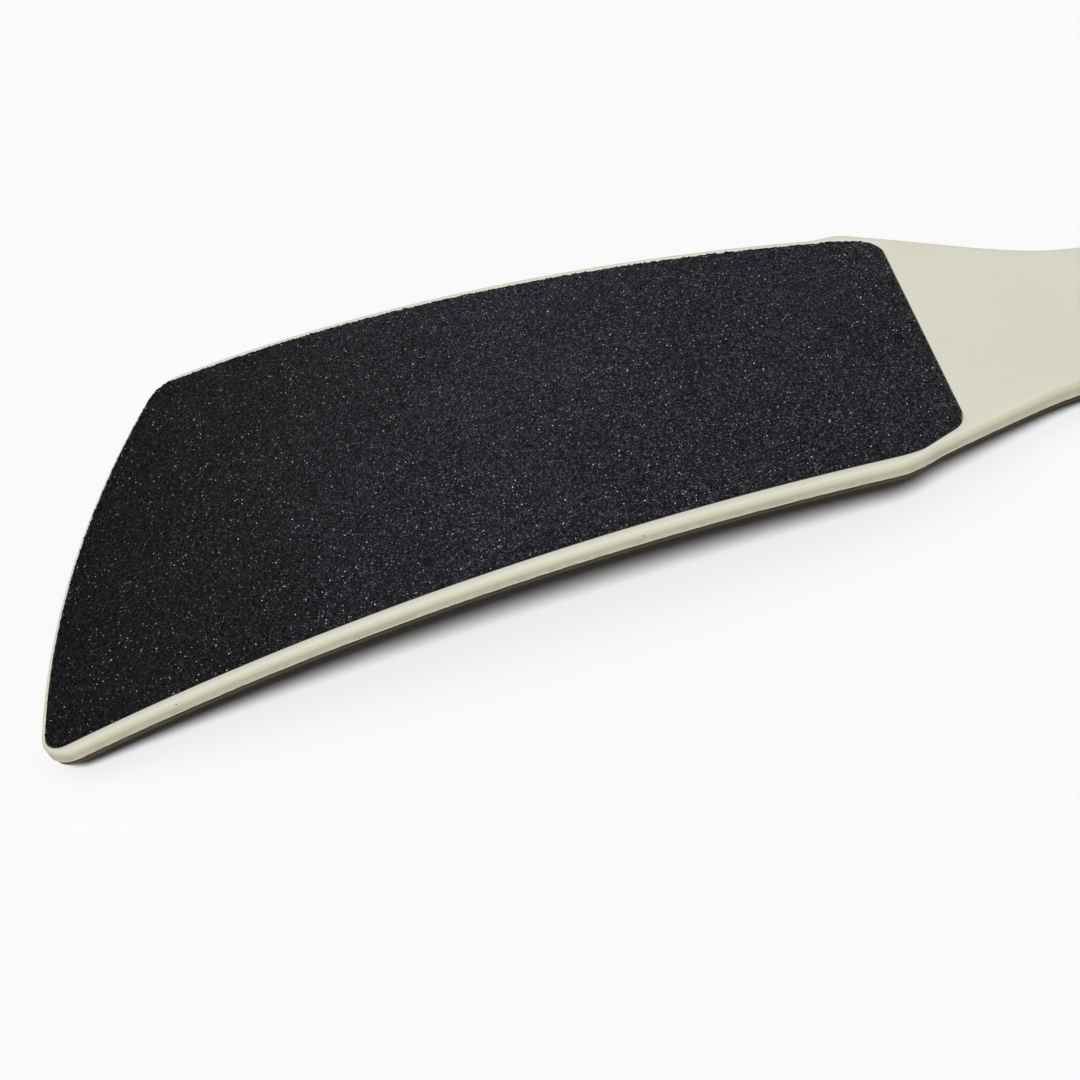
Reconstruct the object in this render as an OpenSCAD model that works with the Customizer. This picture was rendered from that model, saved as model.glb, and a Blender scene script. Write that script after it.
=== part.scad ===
// Curved double-sided foot file.
// One moulded paddle, arched along its blade, with an abrasive sheet seated in each face.
// The tip points to -X, the handle to +X, and +Z is up. The file lies with its convex face up:
// it touches the table at the middle of its tip and along the flat handle, at z = 0.
// The origin is under the middle of the whole length.

/* [Paddle outline] */
// Length of the whole paddle, from the tip to the end of the handle
overall_len = 245; // [225:1:275]
// Width of the blade at its tip, measured where its straight sides would reach the tip
tip_w = 55.2; // [50:0.1:62]
// Width of the blade at the shoulder, where its straight sides end
shoulder_w = 34.7; // [30:0.1:40]
// Distance from the tip to the shoulder
blade_len = 79.1; // [74:0.1:84]
// Radius of the bowed tip edge
tip_bow_r = 90; // [70:1:150]
// Radius of the two tip corners
tip_corner_r = 4.3; // [3.5:0.1:7]
// Radius of the outward bend at the shoulder
shoulder_r = 4.3; // [3:0.1:12]
// Angle of the neck's straight sides to the middle line
neck_angle = 25; // [20:0.5:32]
// Radius of the hollow curve between the neck and the waist
neck_r = 37; // [20:1:45]
// Width of the handle at its waist, the narrowest place
waist_w = 17.7; // [14:0.1:20]
// Distance from the end of the handle to the middle of the palm swell
palm_from_end = 62; // [50:1:75]
// Width of the palm swell
palm_w = 25; // [20:0.5:30]
// Width of the round end of the handle
end_w = 21; // [18:0.5:26]
// Sideways offset of the handle from the middle of the blade
handle_shift = 0.85; // [0:0.05:1.5]

/* [Paddle section] */
// Radius of the arch, at the parting line
arch_r = 231; // [200:1:270]
// Distance from the tip to the highest place of the arch
apex_from_tip = 50.5; // [46:0.1:55]
// Radius of the upward bend that lays the handle flat on the table
lift_r = 50; // [30:1:80]
// Thickness of the blade above its parting line
blade_above = 1; // [0.8:0.05:1.5]
// Thickness of the blade below its parting line
blade_below = 0.9; // [0.7:0.05:1.5]
// Thickness of the handle above its parting line
handle_above = 1.8; // [1.5:0.05:2.5]
// Thickness of the handle below its parting line
handle_below = 1.5; // [1.3:0.05:2.5]
// Distance from the tip to where the blade starts to thicken
thicken_from = 80; // [74:0.5:84]
// Distance over which the blade's thickness grows into the handle's
thicken_len = 34; // [20:1:50]
// Radius of the blade's upper edges at its sides
blade_edge_r = 0.55; // [0.2:0.05:0.7]
// Radius of the handle's upper edges
handle_edge_r = 1.1; // [0.5:0.05:1.2]
// Radius of the blade's lower edges
blade_low_edge_r = 0.1; // [0.05:0.05:0.4]
// Radius of the handle's lower edges
handle_low_edge_r = 0.8; // [0.3:0.05:1.1]
// Draft of the walls above the parting line, at the sides
draft_above = 7; // [0:0.5:12]
// Draft of the walls below the parting line, at the sides, which turns them under
draft_below = 30; // [10:1:35]

/* [Hanging hole] */
// Diameter of the hole
hole_d = 6; // [4:0.1:8]
// Distance from the hole's axis to the end of the handle
hole_from_end = 11; // [8:0.5:20]
// Chamfer at both mouths of the hole
hole_chamfer = 0.4; // [0.2:0.1:0.8]

/* [Abrasive sheets] */
// Distance from the tip to the straight end of the sheets
sheet_end = 83.5; // [72:0.1:86]
// Bare rim beside the sheets, if they lay in the middle of the blade
side_rim = 1.2; // [1.1:0.05:3]
// Bare rim at the tip
tip_rim = 0.55; // [0.5:0.05:3]
// Sideways offset of the sheets from the middle of the blade
sheet_shift = -0.05; // [-0.4:0.05:0.4]
// Length over which the sheets swing over to the handle's offset, from the shoulder on
sheet_swing = 7.5; // [5:0.5:12]
// Radius of the sheet corners
sheet_corner_r = 2.5; // [1:0.1:4]
// Depth of the seat that each sheet lies in
seat_depth = 0.3; // [0.1:0.05:0.45]
// Gap between a sheet and the wall of its seat
seat_gap = 0.1; // [0.05:0.01:0.2]
// Thickness of the adhesive film
adhesive_t = 0.1; // [0.05:0.01:0.2]
// Thickness of the backing
backing_t = 0.2; // [0.1:0.01:0.4]
// Thickness of the coat of grains
grit_t = 0.25; // [0.15:0.01:0.5]

/* [Hidden] */

// How far a cut runs past what it cuts
overrun = 2;
// Largest step between stations along the blade and along the handle
blade_step = 2.5;
handle_step = 5;
// Steps in a short, a usual and a wide bend of the outline, and in the rounding of an edge
short_bend = 4;
usual_bend = 8;
wide_bend = 16;
edge_steps = 4;
// Facets of the holes, of the arch, of the sheets' tip edge and of their corners
hole_facets = 96;
arch_facets = 720;
bow_facets = 180;
corner_facets = 64;

x_tip = -overall_len / 2;
x_apex = x_tip + apex_from_tip;

// Radii of the arched faces, from the parting line upwards and downwards
top_seat_r = arch_r + blade_above - seat_depth;
top_backing_r = top_seat_r + adhesive_t;
top_grit_r = top_backing_r + backing_t;
top_face_r = top_grit_r + grit_t;
low_seat_r = arch_r - blade_below + seat_depth;
low_backing_r = low_seat_r - adhesive_t;
low_grit_r = low_backing_r - backing_t;
low_face_r = low_grit_r - grit_t;

// The arch's axis lies so low that the lower sheet touches z = 0 at its tip end
touch_x = apex_from_tip - tip_rim;
arch_z = -sqrt(pow(low_face_r, 2) - pow(touch_x, 2));

// Angle at which the arch passes into the upward bend, and the axis of that bend
drop = arch_z + arch_r - handle_below;
lift_angle = acos(1 - drop / (arch_r + lift_r));
lift_x = x_apex + (arch_r + lift_r) * sin(lift_angle);
lift_z = handle_below + lift_r;

// Slope of the blade's sides, and the centre of a tip corner that touches the bow and the side
side_slope = (tip_w - shoulder_w) / 2 / blade_len;
side_angle = atan(side_slope);
corner_base = tip_w / 2 - tip_corner_r / cos(side_angle);
corner_a = 1 + pow(side_slope, 2);
corner_b = tip_bow_r + side_slope * corner_base;
corner_c = pow(tip_bow_r, 2) + pow(corner_base, 2) - pow(tip_bow_r - tip_corner_r, 2);
corner_u = (corner_b - sqrt(pow(corner_b, 2) - corner_a * corner_c)) / corner_a;
corner_centre = [corner_u, corner_base - side_slope * corner_u];
bow_angle = atan2(corner_centre[1], tip_bow_r - corner_centre[0]);

// The neck: a bend at the shoulder, a straight side and a hollow, which meet without a corner.
// The straight side takes the width that the bend and the hollow leave to lose.
bend_drop = shoulder_r * (cos(side_angle) - cos(neck_angle));
hollow_drop = neck_r * (1 - cos(neck_angle));
neck_len = ((shoulder_w - waist_w) / 2 - bend_drop - hollow_drop) / sin(neck_angle);
shoulder_centre = [blade_len, shoulder_w / 2] - shoulder_r * [sin(side_angle), cos(side_angle)];
neck_start = shoulder_centre + shoulder_r * [sin(neck_angle), cos(neck_angle)];
neck_end = neck_start + neck_len * [cos(neck_angle), -sin(neck_angle)];
hollow_centre = neck_end + neck_r * [sin(neck_angle), cos(neck_angle)];
waist_u = hollow_centre[0];
palm_u = overall_len - palm_from_end;
end_u = overall_len - end_w / 2;

// Direction that faces away from the paddle: 0 at the tip, 90 at its side, 180 at the handle's end
function facing(angle) = [-cos(angle), sin(angle)];

// Half the outline as stations, each one a place and the direction that it faces.
// A bend turns outwards about its centre and a hollow turns inwards.
function bend(centre, radius, from, to, steps) =
    [for (i = [1:steps])
        let (a = from + (to - from) * i / steps)
        [centre + radius * facing(a), facing(a)]];
function hollow(centre, radius, from, to, steps) =
    [for (i = [1:steps])
        let (a = from + (to - from) * i / steps)
        [centre - radius * facing(a), facing(a)]];
function straight(from, to, angle) =
    let (steps = ceil(norm(to - from) / blade_step))
    [for (i = [1:steps]) [from + (to - from) * i / steps, facing(angle)]];
// A swell leaves one width and reaches the next, level at both ends
function swell(from, to) =
    let (run = to[0] - from[0], rise = to[1] - from[1], steps = ceil(run / handle_step))
    [for (i = [1:steps])
        let (share = i / steps, slope = rise / run * PI / 2 * sin(180 * share))
        [from + [run * share, rise * (1 - cos(180 * share)) / 2], facing(90 - atan(slope))]];

side_start = corner_centre + tip_corner_r * facing(90 + side_angle);
half_outline = concat(
    [[[0, 0], facing(0)]],
    bend([tip_bow_r, 0], tip_bow_r, 0, bow_angle, usual_bend),
    bend(corner_centre, tip_corner_r, bow_angle, 90 + side_angle, usual_bend),
    straight(side_start, [blade_len, shoulder_w / 2], 90 + side_angle),
    bend(shoulder_centre, shoulder_r, 90 + side_angle, 90 + neck_angle, short_bend),
    straight(neck_start, neck_end, 90 + neck_angle),
    hollow(hollow_centre, neck_r, 90 + neck_angle, 90, usual_bend),
    swell([waist_u, waist_w / 2], [palm_u, palm_w / 2]),
    swell([palm_u, palm_w / 2], [end_u, end_w / 2]),
    bend([end_u, 0], end_w / 2, 90, 180, wide_bend));
last = len(half_outline) - 1;
ring = 2 * last;

// The rim is narrowest at the tip, where the edge's rounding and its draft shrink with it.
// They reach their full size where the outline faces sideways.
tip_edge_share = min(1, tip_rim / side_rim);
function edge_share(station) =
    let (turned_share = min(1, acos(-station[1][0]) / 90))
    tip_edge_share + (1 - tip_edge_share) * pow(turned_share, 3);

// Share of a smooth change that starts at one distance from the tip and runs over a length
function smooth(u, from, run) = (1 - cos(180 * min(1, max(0, (u - from) / run)))) / 2;
function thickening(u) = smooth(u, thicken_from, thicken_len);
function above(u) = blade_above + (handle_above - blade_above) * thickening(u);
function below(u) = blade_below + (handle_below - blade_below) * thickening(u);
function upper_r(u) = blade_edge_r + (handle_edge_r - blade_edge_r) * thickening(u);
function lower_r(u) =
    blade_low_edge_r + (handle_low_edge_r - blade_low_edge_r) * thickening(u);
function swing(u, run) = handle_shift * smooth(u, blade_len - shoulder_r / 2, run);
function sideways(u) = swing(u, shoulder_r);

// Height of the surface that runs h above the parting line, at the place x
function height(x, h) =
    x - x_apex < (arch_r + h) * sin(lift_angle)
        ? arch_z + sqrt(pow(arch_r + h, 2) - pow(x - x_apex, 2))
        : x < lift_x
            ? lift_z - sqrt(pow(lift_r - h, 2) - pow(x - lift_x, 2))
            : handle_below + h;

// Loops round the edge, from the top face over the parting line to the bottom face: each has
// a side (1 above, 0 on the parting line, -1 below) and a share of the way round the edge's radius
edge_loops = concat(
    [for (i = [0:edge_steps]) [1, i / edge_steps]],
    [[0, 1]],
    [for (i = [edge_steps:-1:0]) [-1, i / edge_steps]]);

// Point of a loop at a station, on the far side (1) or the near side (-1).
// The rounding turns from level at the face to the draft at the top of the wall.
function edge_point(station, loop, side) =
    let (u = station[0][0],
         upper = loop[0] > 0,
         face = upper ? above(u) : below(u),
         r = edge_share(station) * (upper ? upper_r(u) : lower_r(u)),
         draft = edge_share(station) * (upper ? draft_above : draft_below),
         wall = face - r * (1 - sin(draft)),
         turn = 90 - (90 - draft) * loop[1],
         inset = loop[0] == 0 ? 0 : wall * tan(draft) + r * (cos(draft) - cos(turn)),
         h = loop[0] * (face - r * (1 - sin(turn))),
         p = station[0] - inset * station[1])
    [x_tip + p[0], side * p[1] + sideways(p[0]), height(x_tip + p[0], h)];

// Place in a loop of the near side's point at a station
function near_index(i) = i == 0 || i == last ? i : ring - i;

module paddle_shell() {
    points = [for (loop = edge_loops) each concat(
        [for (i = [0:last]) edge_point(half_outline[i], loop, 1)],
        [for (i = [last - 1:-1:1]) edge_point(half_outline[i], loop, -1)])];
    low = (len(edge_loops) - 1) * ring;
    walls = [for (j = [0:len(edge_loops) - 2], k = [0:ring - 1])
        let (a = j * ring + k, b = j * ring + (k + 1) % ring)
        each [[a, b + ring, b], [a, a + ring, b + ring]]];
    top = [for (i = [0:last - 1]) each concat(
        i < last - 1 ? [[i, i + 1, near_index(i + 1)]] : [],
        i > 0 ? [[i, near_index(i + 1), near_index(i)]] : [])];
    bottom = [for (t = top) [low + t[0], low + t[2], low + t[1]]];
    polyhedron(points, concat(walls, top, bottom), convexity = 6);
}

// Point of a sheet's side, before its tip edge is cut to the bow
function sheet_point(place, side) =
    [x_tip + place[0], side * place[1] - sheet_shift + swing(place[0], sheet_swing)];

module sheet_outline() {
    side_facing = facing(90 + side_angle);
    straight_end = [blade_len, shoulder_w / 2] - side_rim * side_facing;
    ahead = [0, straight_end[1] + side_slope * straight_end[0]];
    beside = concat([ahead], [for (station = half_outline)
        if (station[0][0] > side_start[0] && station[0][0] <= waist_u)
            station[0] - side_rim * station[1]]);
    offset(r = sheet_corner_r, $fn = corner_facets) offset(delta = -sheet_corner_r)
        intersection() {
            polygon(concat(
                [for (place = beside) sheet_point(place, 1)],
                [for (i = [len(beside) - 1:-1:0]) sheet_point(beside[i], -1)]));
            translate([x_tip + tip_bow_r, -sheet_shift])
                circle(r = tip_bow_r - tip_rim, $fn = bow_facets);
            translate([x_tip, -tip_w]) square([sheet_end, 2 * tip_w]);
        }
}

// Drum about the arch's axis
module drum(radius) {
    translate([x_apex, 0, arch_z]) rotate([90, 0, 0])
        cylinder(r = radius, h = 2 * tip_w, center = true, $fn = arch_facets);
}

// What lies between two radii of the arch, inside the sheet's outline grown by a margin
module arched_layer(inner_r, outer_r, margin = 0) {
    intersection() {
        translate([0, 0, -overrun])
            linear_extrude(height = arch_z + top_face_r + 2 * overrun)
                offset(delta = margin) sheet_outline();
        difference() {
            drum(outer_r);
            drum(inner_r);
        }
    }
}

// One mouth of the hole with its chamfer, at the lower face
module hole_mouth() {
    translate([0, 0, -overrun]) cylinder(
        r1 = hole_d / 2 + hole_chamfer + overrun,
        r2 = hole_d / 2,
        h = hole_chamfer + overrun,
        $fn = hole_facets);
}

module hanging_hole() {
    handle_t = handle_above + handle_below;
    translate([x_tip + overall_len - hole_from_end, handle_shift, 0]) {
        translate([0, 0, -overrun])
            cylinder(d = hole_d, h = handle_t + 2 * overrun, $fn = hole_facets);
        hole_mouth();
        translate([0, 0, handle_t]) mirror([0, 0, 1]) hole_mouth();
    }
}

module paddle() {
    color([0.83, 0.83, 0.77]) difference() {
        paddle_shell();
        arched_layer(top_seat_r, top_face_r + overrun, seat_gap);
        arched_layer(low_face_r - overrun, low_seat_r, seat_gap);
        hanging_hole();
    }
}

module coarse_adhesive() {
    color([0.86, 0.82, 0.66]) arched_layer(top_seat_r, top_backing_r);
}

module coarse_backing() {
    color([0.35, 0.33, 0.32]) arched_layer(top_backing_r, top_grit_r);
}

module coarse_grit() {
    color([0.13, 0.13, 0.14]) arched_layer(top_grit_r, top_face_r);
}

module fine_adhesive() {
    color([0.86, 0.82, 0.66]) arched_layer(low_backing_r, low_seat_r);
}

module fine_backing() {
    color([0.35, 0.33, 0.32]) arched_layer(low_grit_r, low_backing_r);
}

module fine_grit() {
    color([0.15, 0.15, 0.16]) arched_layer(low_face_r, low_grit_r);
}

paddle();
coarse_adhesive();
coarse_backing();
coarse_grit();
fine_adhesive();
fine_backing();
fine_grit();
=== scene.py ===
import math

import bmesh
import bpy
import numpy as np
from mathutils import Matrix, Vector
from mathutils.geometry import delaunay_2d_cdt


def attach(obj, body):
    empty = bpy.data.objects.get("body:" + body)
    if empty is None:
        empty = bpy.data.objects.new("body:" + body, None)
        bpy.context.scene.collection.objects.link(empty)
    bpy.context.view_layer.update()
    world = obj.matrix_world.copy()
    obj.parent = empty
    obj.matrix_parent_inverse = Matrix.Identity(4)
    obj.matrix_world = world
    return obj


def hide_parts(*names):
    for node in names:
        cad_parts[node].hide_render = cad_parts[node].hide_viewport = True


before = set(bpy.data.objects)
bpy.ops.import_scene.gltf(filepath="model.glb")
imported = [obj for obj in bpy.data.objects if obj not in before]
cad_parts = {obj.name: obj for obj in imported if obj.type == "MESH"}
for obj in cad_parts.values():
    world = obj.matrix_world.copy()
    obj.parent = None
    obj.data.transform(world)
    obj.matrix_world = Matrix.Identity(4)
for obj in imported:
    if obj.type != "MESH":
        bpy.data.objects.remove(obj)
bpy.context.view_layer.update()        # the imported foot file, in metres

MM = 0.001
draws = np.random.default_rng(7)

# Sizes of the CAD model in millimetres and degrees, under the names that its source gives them
OVERALL_LEN = 245
TIP_W = 55.2
SHOULDER_W = 34.7
BLADE_LEN = 79.1
TIP_BOW_R = 90
TIP_CORNER_R = 4.3
SHOULDER_R = 4.3
NECK_ANGLE = 25
NECK_R = 37
WAIST_W = 17.7
PALM_FROM_END = 62
PALM_W = 25
END_W = 21
HANDLE_SHIFT = 0.85
ARCH_R = 231
APEX_FROM_TIP = 50.5
LIFT_R = 50
BLADE_ABOVE = 1
BLADE_BELOW = 0.9
HANDLE_ABOVE = 1.8
HANDLE_BELOW = 1.5
THICKEN_FROM = 80
THICKEN_LEN = 34
BLADE_EDGE_R = 0.55
HANDLE_EDGE_R = 1.1
BLADE_LOW_EDGE_R = 0.1
HANDLE_LOW_EDGE_R = 0.8
DRAFT_ABOVE = 7
DRAFT_BELOW = 30
HOLE_D = 6
HOLE_FROM_END = 11
HOLE_CHAMFER = 0.4
SHEET_END = 83.5
SIDE_RIM = 1.2
TIP_RIM = 0.55
SHEET_SHIFT = -0.05
SHEET_SWING = 7.5
SHEET_CORNER_R = 2.5
SEAT_DEPTH = 0.3
SEAT_GAP = 0.1
ADHESIVE_T = 0.1
BACKING_T = 0.2
GRIT_T = 0.25

# Steps of the visual mesh along the outline, round its bends, the sheets' corners, the edges and
# the hole, and across the faces
OUTLINE_STEP = 0.5
TIP_CORNER_STEP = OUTLINE_STEP / 2
SHOULDER_STEP = OUTLINE_STEP / 3
SHEET_CORNER_STEP = 0.2
FEWEST_BEND_STEPS = 6
EDGE_STEPS = 8
HOLE_STEPS = 72
FACE_STEP_X = 1.5
FACE_STEP_Y = 2.5
# How far the points across a face keep from its outlines, on the paddle and under the grains
FACE_GAP = 0.6
GRAIN_BASE_GAP = 1
SAME_PLACE = 1e-6
# Two faces that meet at more degrees than this meet in a sharp edge
SHARP_ANGLE = 28
# The flash along the parting line: how far it stands out, its half height, and the shares of its
# foot and of that half height at which it narrows
FLASH_RISE = 0.04
FLASH_HALF = 0.07
FLASH_FOOT_SHARE = 0.2
FLASH_HALF_SHARE = 0.3
# Rounding of the rims of the upper and the lower seat, and the share of it at which its middle runs
TOP_LIP = 0.02
LOW_LIP = 0.015
LIP_SHARE = 0.3
# No seat reaches further than this from the top of the arch
SEAT_REACH = 80
# The grains: the step of their mesh, how far its points stray as a share of that step, how much of
# that is left at the rim, the lowest grains above the backing, how much more common low grains are
# than high ones, and how far the rim may sink
GRAIN_STEP = 0.2
GRAIN_STRAY = 0.32
RIM_STRAY = 0.25
COARSE_LOWEST = 0.08
FINE_LOWEST = 0.12
GRAIN_SKEW = 1.3
RIM_LOWEST = 0.3

X_TIP = -OVERALL_LEN / 2
X_APEX = X_TIP + APEX_FROM_TIP
TOP_SEAT_R = ARCH_R + BLADE_ABOVE - SEAT_DEPTH
TOP_GRIT_R = TOP_SEAT_R + ADHESIVE_T + BACKING_T
LOW_SEAT_R = ARCH_R - BLADE_BELOW + SEAT_DEPTH
LOW_GRIT_R = LOW_SEAT_R - ADHESIVE_T - BACKING_T
ARCH_Z = -math.sqrt((LOW_GRIT_R - GRIT_T) ** 2 - (APEX_FROM_TIP - TIP_RIM) ** 2)
SIDE_ANGLE = math.degrees(math.atan((TIP_W - SHOULDER_W) / 2 / BLADE_LEN))
DROP = ARCH_Z + ARCH_R - HANDLE_BELOW
LIFT_ANGLE = math.acos(1 - DROP / (ARCH_R + LIFT_R))
LIFT_X = X_APEX + (ARCH_R + LIFT_R) * math.sin(LIFT_ANGLE)
LIFT_Z = HANDLE_BELOW + LIFT_R


# The paddle's outline

def facing(degrees):
    """Direction away from the paddle: 0 at the tip, 90 at its side, 180 at the handle's end."""
    a = np.radians(degrees)
    return np.stack([-np.cos(a), np.sin(a)], axis=-1)


def arc(centre, radius, start, stop, step=OUTLINE_STEP):
    """Places and directions round a bend, or round a hollow if the radius is negative."""
    steps = max(FEWEST_BEND_STEPS, math.ceil(abs(math.radians(stop - start) * radius) / step))
    directions = facing(start + (stop - start) * np.arange(1, steps + 1) / steps)
    return np.array(centre) + radius * directions, directions


def straight(start, stop, angle):
    steps = math.ceil(np.linalg.norm(stop - start) / OUTLINE_STEP)
    share = np.arange(1, steps + 1)[:, None] / steps
    return start + (stop - start) * share, np.tile(facing(angle), (steps, 1))


def swell(start, stop):
    """From one half width to the next, level at both ends."""
    run, rise = stop[0] - start[0], stop[1] - start[1]
    steps = math.ceil(run)
    share = np.arange(1, steps + 1) / steps
    slope = rise / run * math.pi / 2 * np.sin(math.pi * share)
    places = np.stack([start[0] + run * share,
                       start[1] + rise * (1 - np.cos(math.pi * share)) / 2], axis=-1)
    return places, facing(90 - np.degrees(np.arctan(slope)))


def half_outline():
    """Places, directions, the number of the first place on the straight side, and the waist."""
    side = SIDE_ANGLE
    slope = math.tan(math.radians(side))
    base = TIP_W / 2 - TIP_CORNER_R / math.cos(math.radians(side))
    a = 1 + slope ** 2
    b = TIP_BOW_R + slope * base
    c = TIP_BOW_R ** 2 + base ** 2 - (TIP_BOW_R - TIP_CORNER_R) ** 2
    corner_u = (b - math.sqrt(b ** 2 - a * c)) / a
    corner = np.array([corner_u, base - slope * corner_u])
    bow = math.degrees(math.atan2(corner[1], TIP_BOW_R - corner[0]))
    shoulder = np.array([BLADE_LEN, SHOULDER_W / 2]) - SHOULDER_R * facing(90 + side)
    neck_start = shoulder + SHOULDER_R * facing(90 + NECK_ANGLE)
    neck = math.radians(NECK_ANGLE)
    bend_drop = SHOULDER_R * (math.cos(math.radians(side)) - math.cos(neck))
    hollow_drop = NECK_R * (1 - math.cos(neck))
    neck_len = ((SHOULDER_W - WAIST_W) / 2 - bend_drop - hollow_drop) / math.sin(neck)
    neck_end = neck_start + neck_len * np.array([math.cos(neck), -math.sin(neck)])
    hollow = neck_end + NECK_R * facing(90 + NECK_ANGLE)
    palm = [OVERALL_LEN - PALM_FROM_END, PALM_W / 2]
    end = [OVERALL_LEN - END_W / 2, END_W / 2]
    runs = [
        (np.zeros((1, 2)), facing(np.zeros(1))),
        arc([TIP_BOW_R, 0], TIP_BOW_R, 0, bow),
        arc(corner, TIP_CORNER_R, bow, 90 + side, TIP_CORNER_STEP),
        straight(corner + TIP_CORNER_R * facing(90 + side),
                 np.array([BLADE_LEN, SHOULDER_W / 2]), 90 + side),
        arc(shoulder, SHOULDER_R, 90 + side, 90 + NECK_ANGLE, SHOULDER_STEP),
        straight(neck_start, neck_end, 90 + NECK_ANGLE),
        arc(hollow, -NECK_R, 90 + NECK_ANGLE, 90),
        swell([hollow[0], WAIST_W / 2], palm),
        swell(palm, end),
        arc([end[0], 0], END_W / 2, 90, 180)]
    on_side = sum(len(run[0]) for run in runs[:3])
    return (np.vstack([run[0] for run in runs]), np.vstack([run[1] for run in runs]),
            on_side, hollow[0])


def smooth(u, start, run):
    return (1 - np.cos(math.pi * np.clip((u - start) / run, 0, 1))) / 2


def blended(blade, handle, u):
    """A size that is one value on the blade and another on the handle."""
    return blade + (handle - blade) * smooth(u, THICKEN_FROM, THICKEN_LEN)


def swing(u, run):
    """How far a place has swung over to the handle's offset."""
    return HANDLE_SHIFT * smooth(u, BLADE_LEN - SHOULDER_R / 2, run)


def height(x, h):
    """Height of the surface that runs h above the parting line, at the place x."""
    along = x - X_APEX
    arch = ARCH_Z + np.sqrt(np.maximum((ARCH_R + h) ** 2 - along ** 2, 0))
    lift = LIFT_Z - np.sqrt(np.maximum((LIFT_R - h) ** 2 - (x - LIFT_X) ** 2, 0))
    flat = HANDLE_BELOW + h
    on_arch = along < (ARCH_R + h) * math.sin(LIFT_ANGLE)
    return np.where(on_arch, arch, np.where(x < LIFT_X, lift, flat))


places, directions, first_on_side, waist_u = half_outline()
# The whole outline: the far side from the tip to the handle's end, then the near side back
MIRROR = np.array([1, -1])
ring_places = np.vstack([places, places[-2:0:-1] * MIRROR])
ring_directions = np.vstack([directions, directions[-2:0:-1] * MIRROR])
ring_u = ring_places[:, 0]
# The edge's rounding and draft are smallest at the tip, where the rim is narrowest
turned_share = np.minimum(1, np.degrees(np.arccos(-ring_directions[:, 0].clip(-1, 1))) / 90)
edge_share = TIP_RIM / SIDE_RIM + (1 - TIP_RIM / SIDE_RIM) * turned_share ** 3


def ring_at(inset, h):
    """The whole outline drawn in by an inset, on the surface h above the parting line."""
    p = ring_places - np.reshape(inset, (-1, 1)) * ring_directions
    x = X_TIP + p[:, 0]
    return np.stack([x, p[:, 1] + swing(p[:, 0], SHOULDER_R), height(x, h)], axis=-1)


def sheet_side(side, margin):
    """Half the outline of a sheet, from the middle of its tip edge to its straight end."""
    radius = SHEET_CORNER_R + margin
    beside = slice(first_on_side, np.searchsorted(places[:, 0], waist_u))
    line = places[beside] - (SIDE_RIM - margin) * directions[beside]
    line[:, 1] += side * (swing(line[:, 0], SHEET_SWING) - SHEET_SHIFT)
    along = np.gradient(line, axis=0)
    along /= np.linalg.norm(along, axis=1)[:, None]
    outward = np.stack([-along[:, 1], along[:, 0]], axis=-1)

    # The tip corner touches the bow and the straight side
    bow_r = TIP_BOW_R - TIP_RIM + margin
    bow_centre = np.array([TIP_BOW_R, -side * SHEET_SHIFT])
    start = line[0] - radius * outward[0] - bow_centre
    on_line = start @ along[0]
    run = -on_line - math.sqrt(on_line ** 2 - start @ start + (bow_r - radius) ** 2)
    from_bow = start + run * along[0]
    touch = math.degrees(math.atan2(from_bow[1], -from_bow[0]))
    # The shoulder corner touches the side and the straight end
    inner = line - radius * outward
    end_u = SHEET_END + margin - radius
    end_v = np.interp(end_u, inner[:, 0], inner[:, 1])
    leave = math.degrees(math.atan2(np.interp(end_u, inner[:, 0], outward[:, 1]),
                                    -np.interp(end_u, inner[:, 0], outward[:, 0])))

    bow, _ = arc(bow_centre, bow_r, 0, touch)
    tip_turn, _ = arc(bow_centre + from_bow, radius, touch, 90 + SIDE_ANGLE, SHEET_CORNER_STEP)
    end_turn, _ = arc([end_u, end_v], radius, leave, 180, SHEET_CORNER_STEP)
    between = line[(line[:, 0] > tip_turn[-1, 0]) & (line[:, 0] < end_turn[0, 0])]
    half = np.vstack([[bow_centre - [bow_r, 0]], bow, tip_turn, between, end_turn])
    return half * [1, side] + [X_TIP, 0]


def sheet_outline(margin):
    """Outline of the sheets, grown by a margin, as x and y."""
    return np.vstack([sheet_side(1, margin), sheet_side(-1, margin)[:0:-1]])


# Meshes

def inside(points, loop):
    """Which points lie inside a closed outline."""
    result = np.zeros(len(points), bool)
    for a, b in zip(loop, np.roll(loop, -1, axis=0)):
        crosses = (a[1] > points[:, 1]) != (b[1] > points[:, 1])
        if a[1] != b[1]:
            at = a[0] + (points[:, 1] - a[1]) * (b[0] - a[0]) / (b[1] - a[1])
            result ^= crosses & (points[:, 0] < at)
    return result


def nearest_on(points, loop):
    """The nearest place on a closed outline to each point."""
    a = loop[None, :, :]
    d = np.roll(loop, -1, axis=0)[None, :, :] - a
    p = points[:, None, :]
    t = np.clip(((p - a) * d).sum(2) / (d ** 2).sum(2), 0, 1)
    on = a + t[:, :, None] * d
    best = ((p - on) ** 2).sum(2).argmin(1)
    return on[np.arange(len(points)), best]


def triangulate(loops, loose):
    """Triangles over closed outlines and loose points, numbered through both, in that order."""
    points = np.vstack(loops + [loose])
    edges = []
    start = 0
    for loop in loops:
        numbers = np.arange(len(loop)) + start
        edges += list(zip(numbers.tolist(), np.roll(numbers, -1).tolist()))
        start += len(loop)
    _, _, triangles, origin, _, _ = delaunay_2d_cdt(
        [Vector(p) for p in points.tolist()], edges, [], 0, SAME_PLACE)
    number = [o[0] if o else -1 for o in origin]
    triangles = np.array([[number[i] for i in t] for t in triangles])
    return triangles[(triangles >= 0).all(1)], points


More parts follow.
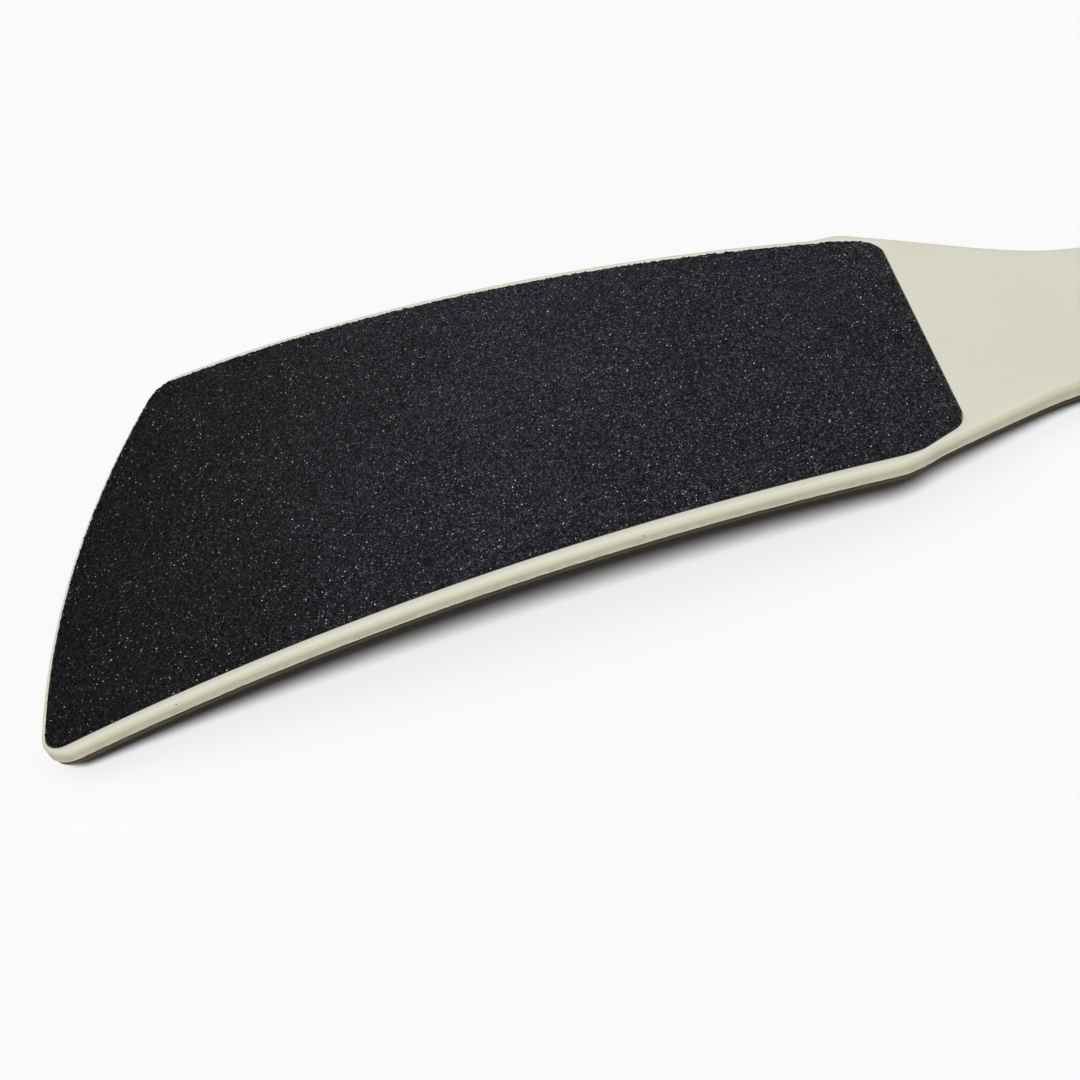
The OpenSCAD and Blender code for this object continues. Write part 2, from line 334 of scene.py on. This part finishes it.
def lattice(loops, gap):
    """Points on a coarse grid that keep a gap to the outlines."""
    low, high = loops[0].min(0), loops[0].max(0)
    x, y = np.meshgrid(np.arange(low[0], high[0], FACE_STEP_X),
                       np.arange(low[1], high[1], FACE_STEP_Y), indexing="ij")
    grid = np.stack([x.ravel(), y.ravel()], axis=-1)
    grid = grid[inside(grid, loops[0])]
    for loop in loops:
        grid = grid[np.linalg.norm(grid - nearest_on(grid, loop), axis=1) > gap]
    return grid


def new_object(name, points, faces):
    mesh = bpy.data.meshes.new(name)
    mesh.from_pydata((points * MM).tolist(), [], faces)
    mesh.validate()
    made = bpy.data.objects.new(name, mesh)
    bpy.context.scene.collection.objects.link(made)
    return made


class Shell:
    """Points and faces of a closed mesh while it is put together."""

    def __init__(self):
        self.points = []
        self.faces = []

    def add(self, points):
        start = len(self.points)
        self.points += points.tolist()
        return np.arange(start, len(self.points))

    def bridge(self, a, b):
        for i in range(len(a)):
            j = (i + 1) % len(a)
            self.faces.append([int(a[i]), int(a[j]), int(b[j]), int(b[i])])


def grown(loop, by):
    """A closed outline, far side first, moved outwards."""
    along = np.roll(loop, -1, axis=0) - np.roll(loop, 1, axis=0)
    along /= np.linalg.norm(along, axis=1)[:, None]
    return loop + by * np.stack([-along[:, 1], along[:, 0]], axis=-1)


def edge_profile():
    """Insets and heights round the edge, from the upper face to the lower one."""
    none = np.zeros_like(ring_u)
    # The flash is torn here and there
    torn = FLASH_RISE * draws.random(len(ring_u)) ** 2
    profile = []
    for side, blade, handle, blade_r, handle_r, draft in (
            (1, BLADE_ABOVE, HANDLE_ABOVE, BLADE_EDGE_R, HANDLE_EDGE_R, DRAFT_ABOVE),
            (-1, BLADE_BELOW, HANDLE_BELOW, BLADE_LOW_EDGE_R, HANDLE_LOW_EDGE_R, DRAFT_BELOW)):
        face = blended(blade, handle, ring_u)
        radius = edge_share * blended(blade_r, handle_r, ring_u)
        draft = edge_share * math.radians(draft)
        wall = face - radius * (1 - np.sin(draft))
        steps = []
        for turn in np.linspace(math.pi / 2, draft, EDGE_STEPS + 1):
            inset = wall * np.tan(draft) + radius * (np.cos(draft) - np.cos(turn))
            steps.append((inset, side * (face - radius * (1 - np.sin(turn)))))
        foot = FLASH_HALF * np.tan(draft) + FLASH_RISE
        steps.append((foot, none + side * FLASH_HALF))
        steps.append((torn + FLASH_FOOT_SHARE * foot,
                      none + side * FLASH_HALF * FLASH_HALF_SHARE))
        if side > 0:
            steps.append((torn, none))
        profile += steps[::side]
    return profile


def make_paddle():
    shell = Shell()
    loops = [shell.add(ring_at(inset, h)) for inset, h in edge_profile()]
    for a, b in zip(loops, loops[1:]):
        shell.bridge(a, b)

    seat = sheet_outline(SEAT_GAP)
    hole_at = np.array([X_TIP + OVERALL_LEN - HOLE_FROM_END, HANDLE_SHIFT])
    turn = facing(np.arange(HOLE_STEPS) * 360 / HOLE_STEPS)
    mouth = hole_at + (HOLE_D / 2 + HOLE_CHAMFER) * turn
    bore = hole_at + HOLE_D / 2 * turn
    bores = []
    for side, ring, blade, handle, seat_r, lip in (
            (1, loops[0], BLADE_ABOVE, HANDLE_ABOVE, TOP_SEAT_R, TOP_LIP),
            (-1, loops[-1], BLADE_BELOW, HANDLE_BELOW, LOW_SEAT_R, LOW_LIP)):
        def on_surface(xy, deeper=0.0):
            h = side * (blended(blade, handle, xy[:, 0] - X_TIP) - deeper)
            return np.column_stack([xy, height(xy[:, 0], h)])

        outer = np.array(shell.points)[ring][:, :2]
        rim = grown(seat, lip)
        plan = [outer, rim, mouth]
        triangles, points = triangulate(plan, lattice(plan, FACE_GAP))
        middles = points[triangles].mean(1)
        in_seat = inside(middles, rim)
        on_face = inside(middles, outer) & ~in_seat & ~inside(middles, mouth)

        # The numbers of the outer loop, the seat's rim and the hole's mouth follow each other
        rim_at = slice(len(outer), len(outer) + len(rim))
        mouth_at = slice(rim_at.stop, rim_at.stop + len(mouth))
        numbers = shell.add(on_surface(points))
        numbers[:len(ring)] = ring
        bottom = points.copy()
        bottom[rim_at] = seat
        along = (bottom[:, 0] - X_APEX).clip(-SEAT_REACH, SEAT_REACH)
        bottom_z = ARCH_Z + np.sqrt(seat_r ** 2 - along ** 2)
        bottom_numbers = shell.add(np.column_stack([bottom, bottom_z]))
        around = [numbers[rim_at],
                  shell.add(on_surface(grown(seat, lip * LIP_SHARE), lip * LIP_SHARE)),
                  shell.add(on_surface(seat, lip)),
                  bottom_numbers[rim_at]]
        for a, b in zip(around, around[1:]):
            shell.bridge(a, b)
        bores.append(shell.add(on_surface(bore, HOLE_CHAMFER)))
        shell.bridge(numbers[mouth_at], bores[-1])
        shell.faces += numbers[triangles[on_face]].tolist()
        shell.faces += bottom_numbers[triangles[in_seat]].tolist()
    shell.bridge(*bores)

    paddle = new_object("paddle_moulding", np.array(shell.points), shell.faces)
    # The points that no face uses are taken out, and all faces are turned outwards
    tidy = bmesh.new()
    tidy.from_mesh(paddle.data)
    bmesh.ops.delete(tidy, geom=[v for v in tidy.verts if not v.link_faces], context="VERTS")
    bmesh.ops.recalc_face_normals(tidy, faces=tidy.faces)
    tidy.to_mesh(paddle.data)
    tidy.free()
    paddle.data.shade_smooth()
    paddle.data.set_sharp_from_angle(angle=math.radians(SHARP_ANGLE))
    return paddle


def make_grains(name, side, base_r, lowest):
    """A coat of grains on the backing: a fine sheet of sharp facets with a ragged edge."""
    outline = sheet_outline(0)
    low = outline.min(0) - 2 * GRAIN_STEP
    count = np.ceil((outline.max(0) + 2 * GRAIN_STEP - low) / GRAIN_STEP).astype(int)
    x, y = np.meshgrid(low[0] + GRAIN_STEP * np.arange(count[0]),
                       low[1] + GRAIN_STEP * np.arange(count[1]), indexing="ij")
    points = np.stack([x.ravel(), y.ravel()], axis=-1)
    covered = inside(points, outline)
    field = covered.reshape(count)
    # The points within two steps of the outline, and of those the ones that snap onto it
    near = np.zeros_like(field)
    for axis in (0, 1):
        for by in (-2, -1, 1, 2):
            near |= np.roll(field, by, axis) != field
    near = near.ravel()
    nearest = points.copy()
    nearest[near] = nearest_on(points[near], outline)
    snapped = near & (np.linalg.norm(points - nearest, axis=1) < GRAIN_STEP / 2)
    kept = covered | snapped
    stray = draws.uniform(-GRAIN_STRAY, GRAIN_STRAY, points.shape) * GRAIN_STEP
    points = np.where(snapped[:, None], nearest + RIM_STRAY * stray, points + stray)

    number = np.arange(len(points)).reshape(count)
    a, b = number[:-1, :-1].ravel(), number[1:, :-1].ravel()
    c, d = number[1:, 1:].ravel(), number[:-1, 1:].ravel()
    # The diagonal is drawn at random, but it cuts off a corner that isn't kept
    flip = np.where(kept[a] & kept[b] & kept[c] & kept[d],
                    draws.random(len(a)) < 0.5, ~(kept[a] & kept[c]))
    first = np.where(flip[:, None], np.stack([a, b, d], 1), np.stack([a, b, c], 1))
    second = np.where(flip[:, None], np.stack([b, c, d], 1), np.stack([a, c, d], 1))
    triangles = np.vstack([first, second])
    triangles = triangles[kept[triangles].all(1)]

    used, triangles = np.unique(triangles, return_inverse=True)
    triangles = triangles.reshape(-1, 3)
    xy = points[used]
    rise = lowest + (GRIT_T - lowest) * draws.random(len(xy)) ** GRAIN_SKEW
    rise = np.where(snapped[used], rise * draws.uniform(RIM_LOWEST, 1, len(xy)), rise)
    along = xy[:, 0] - X_APEX
    z = ARCH_Z + np.sqrt((base_r + side * rise) ** 2 - along ** 2)

    # Walls run round the rim, down to the backing
    edges = np.vstack([triangles[:, [0, 1]], triangles[:, [1, 2]], triangles[:, [2, 0]]])
    key = np.sort(edges, axis=1)
    _, where, counts = np.unique(key, axis=0, return_index=True, return_counts=True)
    rim = edges[where[counts == 1]]
    following = dict(rim.tolist())
    loop = [int(rim[0, 0])]
    while following[loop[-1]] != loop[0]:
        loop.append(following[loop[-1]])
    cap, cap_points = triangulate([xy[loop]], lattice([xy[loop]], GRAIN_BASE_GAP))
    cap = cap[inside(cap_points[cap].mean(1), xy[loop])]
    base_z = ARCH_Z + np.sqrt(base_r ** 2 - (cap_points[:, 0] - X_APEX) ** 2)
    start = len(xy)
    vertices = np.vstack([np.column_stack([xy, z]), np.column_stack([cap_points, base_z])])
    faces = triangles.tolist()
    for i, at in enumerate(loop):
        j = (i + 1) % len(loop)
        faces.append([loop[j], at, start + i, start + j])
    middle = cap_points[cap]
    turn = np.cross(middle[:, 1] - middle[:, 0], middle[:, 2] - middle[:, 0]) > 0
    cap = np.where(turn[:, None], cap[:, ::-1], cap) + start
    faces += cap.tolist()
    if side < 0:
        faces = [face[::-1] for face in faces]
    made = new_object(name, vertices, faces)
    made.data.shade_flat()
    return made


# Materials

def material(name):
    made = bpy.data.materials.new(name)
    made.use_nodes = True
    tree = made.node_tree
    return made, tree, tree.nodes["Principled BSDF"]


def node(tree, kind, inputs=None, **settings):
    """A node with its settings. Inputs are values, or sockets to link from."""
    made = tree.nodes.new(kind)
    for key, value in settings.items():
        setattr(made, key, value)
    for key, value in (inputs or {}).items():
        if isinstance(value, bpy.types.NodeSocket):
            tree.links.new(value, made.inputs[key])
        else:
            made.inputs[key].default_value = value
    return made


def coordinates(tree):
    return tree.nodes.new("ShaderNodeTexCoord").outputs["Object"]


def noise(tree, size, detail=2.0, roughness=0.5):
    """Noise whose features are about that many millimetres wide, from 0 to 1."""
    return node(tree, "ShaderNodeTexNoise", {
        "Vector": coordinates(tree), "Scale": 1 / (size * MM), "Detail": detail,
        "Roughness": roughness}).outputs["Fac"]


def ramp(tree, fac, stops):
    made = node(tree, "ShaderNodeValToRGB", {"Fac": fac})
    elements = made.color_ramp.elements
    while len(elements) < len(stops):
        elements.new(0.5)  # its own position is set below
    for element, (position, colour) in zip(elements, stops):
        element.position = position
        element.color = (*colour, 1)
    return made.outputs["Color"]


def span(tree, value, low, high, to_low=0.0, to_high=1.0):
    return node(tree, "ShaderNodeMapRange", {
        "Value": value, "From Min": low, "From Max": high,
        "To Min": to_low, "To Max": to_high}).outputs["Result"]


def mix(tree, fac, a, b, kind="MIX"):
    made = node(tree, "ShaderNodeMix", data_type="RGBA", blend_type=kind)
    sockets = [s for s in made.inputs if s.enabled]
    for socket, value in zip(sockets, (fac, a, b)):
        if isinstance(value, bpy.types.NodeSocket):
            tree.links.new(value, socket)
        elif socket.type == "RGBA":
            socket.default_value = (*value, 1)
        else:
            socket.default_value = value
    return next(s for s in made.outputs if s.enabled)


def mottled(tree, colour, size, detail, shade, edge):
    """A colour darkened in patches, by noise that runs from the shade to white."""
    patches = ramp(tree, noise(tree, size, detail), [(edge, shade), (1 - edge, (1, 1, 1))])
    return mix(tree, 1.0, colour, patches, "MULTIPLY")


def cells(tree, size):
    """Random colours, one to each cell of about that many millimetres."""
    made = node(tree, "ShaderNodeTexVoronoi", {
        "Vector": coordinates(tree), "Scale": 1 / (size * MM)}, feature="F1")
    return node(tree, "ShaderNodeSeparateColor", {"Color": made.outputs["Color"]}).outputs


def bump(tree, height_socket, distance, below=None):
    """Relief of that many millimetres, on top of another bump if one is given."""
    inputs = {"Height": height_socket, "Distance": distance * MM}
    if below is not None:
        inputs["Normal"] = below
    return node(tree, "ShaderNodeBump", inputs).outputs["Normal"]


def within(tree, place, radius, edge):
    """1 near a place given in millimetres, 0 further off than the radius."""
    away = node(tree, "ShaderNodeVectorMath", {
        0: coordinates(tree), 1: [c * MM for c in place]}, operation="DISTANCE").outputs["Value"]
    return span(tree, away, radius * MM, (radius - edge) * MM)


def grey(level):
    return level, level, level


# The part of the noise's range that is spread over two colours or values
NOISE_LOW = 0.3
NOISE_HIGH = 0.7
# The plastic. How far it faces up is 1 when level, 0 when upright and -1 when facing down. Its
# colour turns from a painted shade, darker and yellower, on the sides and underside at TOP_FROM
# and below, to the top's own colour at 1, and its sheen grows from none at SHEEN_FROM to full at
# SHEEN_FULL. Sizes of noise and depths of relief are in millimetres
PLASTIC_TOP = (0.69, 0.68, 0.58)
PLASTIC_SHADED_SIDE = (0.58, 0.555, 0.43)
TOP_FROM = 0.78
CLOUDS = 18
CLOUD_SHADE = (0.965, 0.965, 0.955)
SPECKLE = 0.35
SPECKLE_EDGE = 0.35
SPECKLE_SHADE = (0.97, 0.97, 0.965)
PLASTIC_IOR = 1.49
PLASTIC_SHEEN = 0.25
SHEEN_FROM = -0.2
SHEEN_FULL = 0.1
SMEARS = 3
PLASTIC_ROUGHNESS = (0.56, 0.68)
MOULD_GRAIN = 0.22
MOULD_GRAIN_ROUGHNESS = 0.6
MOULD_GRAIN_RELIEF = 0.006
WAVES = 9
WAVE_RELIEF = 0.03
# Specks of dirt on the near wall, as places in millimetres
SPECKS = ((-65.814, -20.129, 7.244), (-105.498, -25.202, 4.994))
SPECK_R = 0.1
SPECK_EDGE = 0.05
SPECK_COLOUR = (0.22, 0.18, 0.12)


def plastic_material():
    made, tree, shader = material("moulded_plastic")
    facing_up = node(tree, "ShaderNodeSeparateXYZ", {
        "Vector": tree.nodes.new("ShaderNodeNewGeometry").outputs["Normal"]}).outputs["Z"]
    # Painted shade: surfaces that turn away from level get a darker, yellower colour than the top
    colour = mix(tree, span(tree, facing_up, TOP_FROM, 1.0), PLASTIC_SHADED_SIDE, PLASTIC_TOP)
    colour = mottled(tree, colour, CLOUDS, detail=3, shade=CLOUD_SHADE, edge=NOISE_LOW)
    colour = mottled(tree, colour, SPECKLE, detail=2, shade=SPECKLE_SHADE, edge=SPECKLE_EDGE)
    for place in SPECKS:
        colour = mix(tree, within(tree, place, SPECK_R, SPECK_EDGE), colour, SPECK_COLOUR)
    tree.links.new(colour, shader.inputs["Base Color"])
    smears = noise(tree, SMEARS, detail=4)
    roughness = span(tree, smears, NOISE_LOW, NOISE_HIGH, *PLASTIC_ROUGHNESS)
    tree.links.new(roughness, shader.inputs["Roughness"])
    shader.inputs["IOR"].default_value = PLASTIC_IOR
    tree.links.new(span(tree, facing_up, SHEEN_FROM, SHEEN_FULL, 0.0, PLASTIC_SHEEN),
                   shader.inputs["Specular IOR Level"])
    grain = bump(tree, noise(tree, MOULD_GRAIN, detail=3, roughness=MOULD_GRAIN_ROUGHNESS),
                 MOULD_GRAIN_RELIEF)
    waves = bump(tree, noise(tree, WAVES, detail=2), WAVE_RELIEF, below=grain)
    tree.links.new(waves, shader.inputs["Normal"])
    return made


# Size of the single grains in millimetres, their tones from the darkest to the palest, and the
# share of them that get a painted glint
COARSE_CELL = 0.11
COARSE_TONES = [(0.0, (0.003, 0.003, 0.004)), (0.45, (0.011, 0.011, 0.013)),
                (0.85, (0.035, 0.036, 0.042)), (1.0, (0.11, 0.115, 0.13))]
COARSE_GLINTS = 0.012
FINE_CELL = 0.09
FINE_TONES = [(0.0, (0.006, 0.006, 0.007)), (0.6, (0.014, 0.014, 0.016)),
              (1.0, (0.045, 0.046, 0.052))]
FINE_GLINTS = 0.006
# Painted glints sit in cells smaller than grains, and show one of these pale tones
GLINT_CELL_SHARE = 0.7
PAINTED_GLINT_TONES = [(0.0, (0.06, 0.063, 0.07)), (0.6, (0.2, 0.21, 0.23)), (1.0, (0.9, 0.93, 0.97))]
COAT_PATCHES = 9
COAT_SHADE = 0.8
# Painted sheen along the coat, brightest past its middle and much darker towards the tip: its
# brightness between two places in millimetres
COAT_SHEEN_START = -122
COAT_SHEEN_END = -35
PAINTED_COAT_SHEEN = [(0.0, grey(0.15)), (0.2, grey(0.45)), (0.5, grey(1.0)), (1.0, grey(0.85))]
GRAIN_ROUGHNESS = (0.35, 0.7)
GRAIN_SHEEN = 0.03
FACET_SHARE = 0.4
FACET_RELIEF = 0.03


def grain_material(name, cell, tones, glints):
    """Sharp mineral grains in a black binder, some paler, with painted glints and a painted sheen.
    """
    made, tree, shader = material(name)
    random = cells(tree, cell)
    tone = ramp(tree, random["Red"], tones)
    colour = mottled(tree, tone, COAT_PATCHES, detail=3, shade=grey(COAT_SHADE), edge=NOISE_LOW)
    # Painted sheen: the coat's colour is darkened towards the tip
    along = node(tree, "ShaderNodeSeparateXYZ", {"Vector": coordinates(tree)}).outputs["X"]
    painted_sheen = ramp(tree, span(tree, along, COAT_SHEEN_START * MM, COAT_SHEEN_END * MM), PAINTED_COAT_SHEEN)
    colour = mix(tree, 1.0, colour, painted_sheen, "MULTIPLY")
    # Painted glints: a few small cells take a pale colour, each a different one
    glint_cell = cells(tree, GLINT_CELL_SHARE * cell)
    painted_glint = ramp(tree, glint_cell["Red"], PAINTED_GLINT_TONES)
    has_glint = node(tree, "ShaderNodeMath", {0: glint_cell["Green"], 1: 1 - glints},
                 operation="GREATER_THAN").outputs["Value"]
    colour = mix(tree, has_glint, colour, painted_glint)
    tree.links.new(colour, shader.inputs["Base Color"])
    tree.links.new(span(tree, random["Blue"], 0, 1, *GRAIN_ROUGHNESS), shader.inputs["Roughness"])
    shader.inputs["Specular IOR Level"].default_value = GRAIN_SHEEN
    tree.links.new(bump(tree, noise(tree, cell * FACET_SHARE, detail=2), FACET_RELIEF),
                   shader.inputs["Normal"])
    return made


# The adhesive: streaks of two tones, and sizes of its noise in millimetres
ADHESIVE_TONES = [(NOISE_LOW, (0.62, 0.55, 0.36)), (NOISE_HIGH, (0.74, 0.68, 0.5))]
ADHESIVE_STREAKS = 1.5
ADHESIVE_SMEARS = 0.6
ADHESIVE_ROUGHNESS = (0.3, 0.5)
ADHESIVE_WAVES = 0.8
ADHESIVE_RELIEF = 0.02


def adhesive_material():
    made, tree, shader = material("adhesive_film")
    colour = ramp(tree, noise(tree, ADHESIVE_STREAKS, detail=3), ADHESIVE_TONES)
    tree.links.new(colour, shader.inputs["Base Color"])
    smears = noise(tree, ADHESIVE_SMEARS, detail=2)
    roughness = span(tree, smears, NOISE_LOW, NOISE_HIGH, *ADHESIVE_ROUGHNESS)
    tree.links.new(roughness, shader.inputs["Roughness"])
    tree.links.new(bump(tree, noise(tree, ADHESIVE_WAVES, detail=3), ADHESIVE_RELIEF),
                   shader.inputs["Normal"])
    return made


# The backing's fibres: their width in millimetres, how wavy they are, tones and relief. A wave
# texture repeats about three times in each unit of its scale
FIBRE = 0.35
WAVES_PER_UNIT = 3
FIBRE_WAVINESS = 0.6
BACKING_TONES = [(0.0, (0.035, 0.033, 0.032)), (1.0, (0.10, 0.095, 0.09))]
BACKING_ROUGHNESS = 0.85
FIBRE_RELIEF = 0.03


def backing_material():
    """A dark sheet of crossing fibres, filled with binder."""
    made, tree, shader = material("filled_cloth")
    place = coordinates(tree)
    fibres = []
    for direction in ("X", "Y"):
        fibres.append(node(tree, "ShaderNodeTexWave", {
            "Vector": place, "Scale": 1 / (FIBRE * MM) / WAVES_PER_UNIT,
            "Distortion": FIBRE_WAVINESS, "Detail": 1.0},
            wave_type="BANDS", bands_direction=direction).outputs["Fac"])
    weave = node(tree, "ShaderNodeMath", {0: fibres[0], 1: fibres[1]},
                 operation="MULTIPLY").outputs["Value"]
    tree.links.new(ramp(tree, weave, BACKING_TONES), shader.inputs["Base Color"])
    shader.inputs["Roughness"].default_value = BACKING_ROUGHNESS
    tree.links.new(bump(tree, weave, FIBRE_RELIEF), shader.inputs["Normal"])
    return made


def seen_directly(tree):
    """1 for rays that come from the camera, a reflection or clear material."""
    path = tree.nodes.new("ShaderNodeLightPath")
    either = node(tree, "ShaderNodeMath", {
        0: path.outputs["Is Camera Ray"], 1: path.outputs["Is Glossy Ray"]}, operation="MAXIMUM")
    return node(tree, "ShaderNodeMath", {
        0: either.outputs["Value"], 1: path.outputs["Is Transmission Ray"]},
        operation="MAXIMUM").outputs["Value"]


# The pieces

paddle = make_paddle()
paddle.data.materials.append(plastic_material())
coarse = make_grains("coarse_grains", 1, TOP_GRIT_R, COARSE_LOWEST)
coarse.data.materials.append(
    grain_material("coarse_grain", COARSE_CELL, COARSE_TONES, COARSE_GLINTS))
fine = make_grains("fine_grains", -1, LOW_GRIT_R, FINE_LOWEST)
fine.data.materials.append(
    grain_material("fine_grain", FINE_CELL, FINE_TONES, FINE_GLINTS))
for piece, cad_node, slot in ((paddle, "paddle", "plastic"),
                              (coarse, "coarse_grit", "coarse_grains"),
                              (fine, "fine_grit", "fine_grains")):
    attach(piece, "root")
    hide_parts(cad_node)
for layer, finish in (("adhesive", adhesive_material()), ("backing", backing_material())):
    for sheet in ("coarse", "fine"):
        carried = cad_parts[f"{sheet}_{layer}"]
        carried.data.materials.clear()
        carried.data.materials.append(finish)


# Camera, table and light

# The camera: its place, sensor and lens in millimetres, the nearest and furthest it sees in metres
CAMERA_AT = (-60.1972, -89.918, 73.33)
CAMERA_RIGHT = Vector((0.9658805, -0.04737679, -0.25461794))
CAMERA_UP = Vector((0.21737518, 0.68275625, 0.69756142))
SENSOR_W = 36
LENS = 40.92
NEAREST = 0.005
FURTHEST = 20
camera_data = bpy.data.cameras.new("photo_camera")
camera_data.sensor_width = SENSOR_W
camera_data.lens = LENS
camera_data.clip_start = NEAREST
camera_data.clip_end = FURTHEST
camera = bpy.data.objects.new("photo_camera", camera_data)
back = CAMERA_RIGHT.cross(CAMERA_UP)
camera.matrix_world = Matrix.Translation(Vector(CAMERA_AT) * MM) @ Matrix(
    (CAMERA_RIGHT, CAMERA_UP, back)).transposed().to_4x4()
bpy.context.scene.collection.objects.link(camera)
bpy.context.scene.camera = camera

# The table: half its width in metres. It is seen white, and throws back less light than that
FLOOR_HALF = 3
TABLE_SEEN = (0.955, 0.954, 0.954)
TABLE_BOUNCE = (0.035, 0.03, 0.023)
TABLE_ROUGHNESS = 0.9
TABLE_SHEEN = 0.1
floor_mesh = bpy.data.meshes.new("table_top")
floor_mesh.from_pydata([(-FLOOR_HALF, -FLOOR_HALF, 0), (FLOOR_HALF, -FLOOR_HALF, 0),
                        (FLOOR_HALF, FLOOR_HALF, 0), (-FLOOR_HALF, FLOOR_HALF, 0)],
                       [], [(0, 1, 2, 3)])
floor = bpy.data.objects.new("table_top", floor_mesh)
bpy.context.scene.collection.objects.link(floor)
floor_material, floor_tree, floor_shader = material("white_table")
floor_tree.links.new(mix(floor_tree, seen_directly(floor_tree), TABLE_BOUNCE, TABLE_SEEN),
                     floor_shader.inputs["Base Color"])
floor_shader.inputs["Roughness"].default_value = TABLE_ROUGHNESS
floor_shader.inputs["Specular IOR Level"].default_value = TABLE_SHEEN
floor.data.materials.append(floor_material)

# Soft lamps: name, elevation, azimuth from -Y towards +X, the light that each gives to a level
# surface, and how wide it looks, all angles in degrees
LAMPS = (
    ("soft_key", 56.5, 0, 0.845, 20),
    ("left_fill", 30, -105, 0.02, 40),
    ("right_fill", 30, 105, 0.02, 40))
LAMP_COLOUR = (1.0, 1.03, 1.05)
# Light from all round: its strength at the horizon and overhead, and how much stronger it is
# from -Y and weaker from +Y
AMBIENT_LOW = 0.13
AMBIENT_HIGH = 0.18
AMBIENT_FRONT = 0.5
AMBIENT_COLOUR = (1.0, 0.86, 0.76, 1)
# The background beyond the table is seen white
SKY_SEEN = 0.97
for name, elevation, azimuth, level, width in LAMPS:
    lamp_data = bpy.data.lights.new(name, "SUN")
    lamp_data.energy = level * math.pi / math.sin(math.radians(elevation))
    lamp_data.color = [c / max(LAMP_COLOUR) for c in LAMP_COLOUR]
    lamp_data.angle = math.radians(width)
    lamp = bpy.data.objects.new(name, lamp_data)
    level_part = math.cos(math.radians(elevation))
    lamp_from = Vector((math.sin(math.radians(azimuth)) * level_part,
                        -math.cos(math.radians(azimuth)) * level_part,
                        math.sin(math.radians(elevation))))
    lamp.rotation_mode = "QUATERNION"
    lamp.rotation_quaternion = lamp_from.to_track_quat("Z", "Y")
    bpy.context.scene.collection.objects.link(lamp)

world = bpy.data.worlds.new("studio")
world.use_nodes = True
bpy.context.scene.world = world
sky = world.node_tree
towards = node(sky, "ShaderNodeSeparateXYZ", {
    "Vector": sky.nodes.new("ShaderNodeTexCoord").outputs["Generated"]}).outputs
strength = node(sky, "ShaderNodeMath", {
    0: span(sky, towards["Z"], 0, 1, AMBIENT_LOW, AMBIENT_HIGH),
    1: span(sky, towards["Y"], -1, 1, 1 + AMBIENT_FRONT, 1 - AMBIENT_FRONT)},
    operation="MULTIPLY").outputs["Value"]
ambient = sky.nodes["Background"]
ambient.inputs["Color"].default_value = AMBIENT_COLOUR
sky.links.new(strength, ambient.inputs["Strength"])
seen = node(sky, "ShaderNodeBackground", {"Color": (1, 1, 1, 1), "Strength": SKY_SEEN})
choice = node(sky, "ShaderNodeMixShader", {
    0: seen_directly(sky), 1: ambient.outputs["Background"], 2: seen.outputs["Background"]})
sky.links.new(choice.outputs["Shader"], sky.nodes["World Output"].inputs["Surface"])
bpy.context.scene.view_settings.view_transform = "Standard"
